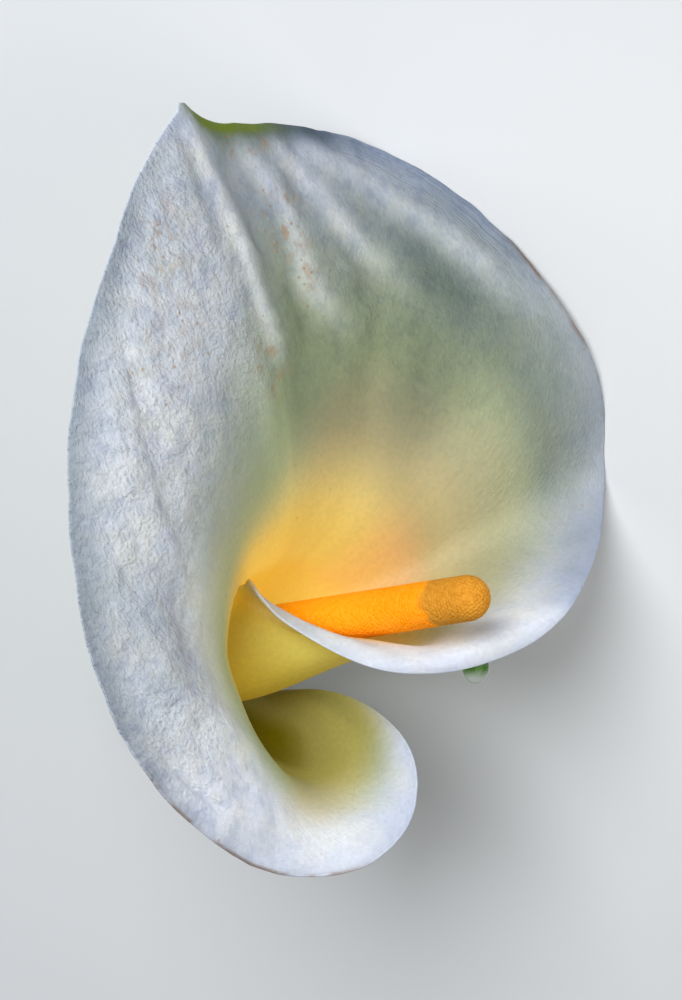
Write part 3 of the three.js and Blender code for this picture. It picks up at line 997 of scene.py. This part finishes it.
# Stem, with faint ribs, its skin drawn in a little from the solid's. The ribs rise below the collar,
# the sooner the larger RIB_RISE is.
STEM_LENGTH = 27
STEM_BEND = np.array([-6.0, 14.0, 0.0])
STEM_RADIUS = 5.9
COLLAR_RADIUS = 10.2
COLLAR_DEPTH = 5
STEM_TOP = -0.75
STEM_AROUND = 112
STEM_RINGS = 70
STEM_RIBS = 16
RIB_HEIGHT = 0.07
RIB_RISE = 6
SKIN_INSET = 0.12
CUT_RINGS = 9


def make_stem(finish):
    share = (1 - np.cos(np.linspace(0, math.pi, STEM_RINGS))) / 2
    turn = np.linspace(0, 2 * math.pi, STEM_AROUND, endpoint=False)
    centre = np.array([0, 0, STEM_TOP]) - np.array([0, 0, STEM_LENGTH]) * share[:, None]
    centre = centre + STEM_BEND * share[:, None] ** 2
    heading = unit(np.array([0, 0, -STEM_LENGTH]) + 2 * share[:, None] * STEM_BEND)
    collar = np.exp(-share * STEM_LENGTH / COLLAR_DEPTH)
    radius = STEM_RADIUS + (COLLAR_RADIUS - STEM_RADIUS) * collar
    rib_wave = np.cos(turn * STEM_RIBS)
    ribs = RIB_HEIGHT * rib_wave[None, :] * (1 - np.exp(-share * RIB_RISE))[:, None]

    def ring(index, size):
        tilt = Vector((0, 0, -1)).rotation_difference(Vector(heading[index])).to_matrix()
        spoke = np.stack([np.cos(turn), np.sin(turn), 0 * turn], -1) * np.asarray(size)[..., None]
        return spoke @ np.array(tilt).T + centre[index]

    shares_out = [k / CUT_RINGS for k in range(1, CUT_RINGS)]
    cut = [ring(-1, radius[-1] * out) for out in shares_out]
    side = [ring(k, radius[k] + ribs[k] - SKIN_INSET) for k in range(STEM_RINGS)]
    top = [ring(0, radius[0] * out) for out in shares_out[::-1]]
    rings = np.array(cut + side[::-1] + top)
    faces = closed_faces(len(rings), STEM_AROUND)
    every = np.concatenate([rings.reshape(-1, 3), centre[-1:], centre[:1]])
    across = np.concatenate([
        np.repeat(shares_out, STEM_AROUND),
        np.ones(STEM_RINGS * STEM_AROUND),
        np.repeat(shares_out[::-1], STEM_AROUND),
        [0, 0],
    ])
    down = np.concatenate([
        np.ones((CUT_RINGS - 1) * STEM_AROUND),
        np.repeat(share[::-1], STEM_AROUND),
        np.zeros((CUT_RINGS - 1) * STEM_AROUND),
        [1, 0],
    ])
    rib = np.concatenate([np.tile(rib_wave * 0.5 + 0.5, len(rings)), [0, 0]])
    fields = {"from_middle": across, "down": down, "rib": rib}
    stem = smooth_mesh("green_stem", laid(every), faces, fields)
    dress(stem, "stem", finish)


STEM_GREEN = colour(112, 150, 58)
STEM_DARK = colour(84, 122, 44)
COLLAR_GREEN = colour(176, 196, 104)
PITH = colour(222, 228, 178)


def stem_finish():
    paint = Finish("lily_stem")
    rib = paint.field("rib")
    down = paint.field("down")
    shade = paint.mix(rib * 0.5, STEM_DARK, STEM_GREEN)
    shade = paint.mix(paint.noise(0.004, 3).ramp(0.4, 0.7) * 0.4, shade, COLLAR_GREEN)
    shade = paint.mix(1 - down.ramp(0.02, 0.3), shade, COLLAR_GREEN)
    within = 1 - paint.field("from_middle").ramp(0.86, 0.97)
    fibres = paint.spots(0.0008).ramp(0.15, 0.5)
    pith = paint.mix(fibres * 0.35, PITH, STEM_GREEN)
    shade = paint.mix(within, shade, pith)
    normal = paint.bump(paint.noise(0.0009, 3) + fibres * within * 0.8, 0.00015, 0.6)
    skin = paint.node(
        "ShaderNodeBsdfPrincipled",
        {},
        {
            "Base Color": shade,
            "Roughness": 0.42 + within * 0.25,
            "Specular IOR Level": 0.4,
            "Normal": normal,
        },
    )
    return paint.end(skin)


# Water drop, with a painted refraction of green in its heart and a painted highlight round its edge.
# DROP_DOWN is the way it hangs, on the upright flower, and DROP_TAPER says how much narrower it is
# towards its upper end. The heart's place and reach are in half lengths of the drop.
DROP_DOWN = (0.128, 0.982, -0.142)
DROP_HALF_WIDTH = 3.1
DROP_HALF_LENGTH = 4.2
DROP_TAPER = 0.28
DROP_AROUND = 64
DROP_RINGS = 48
HEART_PLACE = 0.2
HEART_REACH = 0.4


def make_drop(finish):
    low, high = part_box("water_drop")
    centre = np.array((low + high) / 2)
    down = Vector(turned(DROP_DOWN)).normalized()
    turn_down = np.array(Vector((0, 0, 1)).rotation_difference(down).to_matrix())
    fall = np.linspace(0, math.pi, DROP_RINGS + 1)[1:-1, None]
    turn = np.linspace(0, 2 * math.pi, DROP_AROUND, endpoint=False)
    narrow = 1 - DROP_TAPER * (0.5 + 0.5 * np.cos(fall)) ** 1.5
    width = DROP_HALF_WIDTH * np.sin(fall) * narrow
    height = -DROP_HALF_LENGTH * np.cos(fall) * np.ones(DROP_AROUND)
    rings = np.stack([width * np.cos(turn), width * np.sin(turn), height], -1)
    ends = np.array([[0, 0, -DROP_HALF_LENGTH], [0, 0, DROP_HALF_LENGTH]], float)
    upright = np.concatenate([rings.reshape(-1, 3), ends])
    points = upright @ turn_down.T * MM + centre
    faces = closed_faces(len(rings), DROP_AROUND)
    heart = bell(upright[:, 2] / DROP_HALF_LENGTH, HEART_PLACE, HEART_REACH)
    drop = smooth_mesh("hanging_drop", points, faces, {"heart": heart})
    dress(drop, "water_drop", finish)


CLEAR = (0.97, 0.99, 1.0, 1.0)
PAINTED_GREEN_REFRACTION = colour(92, 150, 30)
PAINTED_EDGE_HIGHLIGHT = colour(242, 246, 250)


def water_finish():
    paint = Finish("lily_water")
    ripple = paint.bump(paint.noise(0.004, 1), 0.0001, 0.3)
    water = paint.node(
        "ShaderNodeBsdfPrincipled",
        {},
        {
            # Painted refraction: green in the drop's heart
            "Base Color": paint.mix(paint.field("heart"), CLEAR, PAINTED_GREEN_REFRACTION),
            "Roughness": 0.02,
            "IOR": 1.333,
            "Transmission Weight": 0.8,
            "Normal": ripple,
        },
    )
    # Painted highlight: a white shader mixed in round the drop's edge, where it is seen edge-on
    painted_highlight = paint.node("ShaderNodeBsdfPrincipled", {}, {"Base Color": PAINTED_EDGE_HIGHLIGHT, "Roughness": 0.1})
    facing = paint.node("ShaderNodeLayerWeight", {}, {"Blend": 0.5}, output="Facing")
    edge = facing.ramp(0.6, 0.96) * 0.8
    return paint.end(paint.node("ShaderNodeMixShader", {}, {0: edge, 1: water, 2: painted_highlight}))


# Studio
PICTURE = (682, 1000)
LENS = 105
SENSOR = 36
MM_PER_PIXEL = 0.2
SPADIX_AIM = 82
SPADIX_AIM_PIXEL = (475, 597)
VIEW_TILT = math.radians(48)
VIEW_TURN = math.radians(11)
FLOOR_WIDTH = 4.0
PALE_PAPER = colour(190, 192, 194)
SKY_COLOUR = (0.93, 0.96, 1.0, 1)
SKY_STRENGTH = 0.08

# Each lamp: its name, the direction in which it stands from the flower's middle, how far away and how
# wide it is in metres, its power in watts and its colour.
FLOWER_MIDDLE = Vector((0, 0, 0.04))
LAMPS = [
    ("high_window", (0.5, 0.0, 0.87), 0.9, 0.7, 11.4, (0.97, 0.985, 1.0)),
    ("side_window", (0.69, 0.69, 0.21), 0.9, 0.55, 5.9, (0.97, 0.985, 1.0)),
    ("near_lamp", (-0.323, -0.684, 0.654), 0.19, 0.21, 0.21, (1.0, 0.99, 0.98)),
]


def make_camera():
    """The photograph's view: the line of sight is tilted from the flower's axis, and a point just
    inside the spadix's end, SPADIX_AIM up the axis, falls on its own pixel."""
    axis_seen = np.array([-math.cos(VIEW_TILT), 0, math.sin(VIEW_TILT)])
    side = np.array([0.0, 1.0, 0.0])
    right = math.cos(VIEW_TURN) * axis_seen + math.sin(VIEW_TURN) * side
    up = math.sin(VIEW_TURN) * axis_seen - math.cos(VIEW_TURN) * side
    towards = np.array([math.sin(VIEW_TILT), 0, math.cos(VIEW_TILT)])
    distance = MM_PER_PIXEL * PICTURE[1] * LENS / SENSOR
    past_middle = (SPADIX_AIM_PIXEL[0] - PICTURE[0] / 2) * MM_PER_PIXEL
    above_middle = (PICTURE[1] / 2 - SPADIX_AIM_PIXEL[1]) * MM_PER_PIXEL
    eye = np.array([0, 0, SPADIX_AIM]) + towards * distance
    eye = eye - right * past_middle - up * above_middle
    view = np.eye(4)
    view[:3, :3] = turned([right, up, towards]).T
    view[:3, 3] = (turned(eye) + np.array(POSE.translation)) * MM
    data = bpy.data.cameras.new("photo_view")
    data.lens = LENS
    data.sensor_width = SENSOR
    data.clip_start = 0.01
    camera = bpy.data.objects.new("photo_view", data)
    camera.matrix_world = Matrix(view.tolist())
    bpy.context.scene.collection.objects.link(camera)
    bpy.context.scene.camera = camera


def soft_light(name, direction, distance, size, power, tint):
    """A round lamp that shines on the flower from a direction, and that no camera sees."""
    data = bpy.data.lights.new(name, "AREA")
    data.shape = "DISK"
    data.size = size
    data.energy = power
    data.color = tint
    lamp = bpy.data.objects.new(name, data)
    lamp.visible_camera = False
    aim = Vector(direction).normalized()
    lamp.location = aim * distance + FLOWER_MIDDLE
    lamp.rotation_euler = aim.to_track_quat("Z", "Y").to_euler()
    bpy.context.scene.collection.objects.link(lamp)


def make_floor():
    half = FLOOR_WIDTH / 2
    mesh = bpy.data.meshes.new("studio_floor")
    corners = [(-half, -half, 0), (half, -half, 0), (half, half, 0), (-half, half, 0)]
    mesh.from_pydata(corners, [], [(0, 1, 2, 3)])
    floor = bpy.data.objects.new("studio_floor", mesh)
    bpy.context.scene.collection.objects.link(floor)
    paint = Finish("studio_paper")
    skin = paint.node("ShaderNodeBsdfPrincipled", {}, {"Base Color": PALE_PAPER, "Roughness": 0.9})
    mesh.materials.append(paint.end(skin))


def make_studio():
    make_floor()
    for lamp in LAMPS:
        soft_light(*lamp)
    world = bpy.data.worlds.new("studio")
    world.use_nodes = True
    sky = world.node_tree.nodes["Background"]
    sky.inputs["Color"].default_value = SKY_COLOUR
    sky.inputs["Strength"].default_value = SKY_STRENGTH
    bpy.context.scene.world = world
    bpy.context.scene.view_settings.view_transform = "Standard"


make_spathe(spathe_finish())
make_spadix(spadix_finish())
make_stem(stem_finish())
make_drop(water_finish())
make_studio()
make_camera()
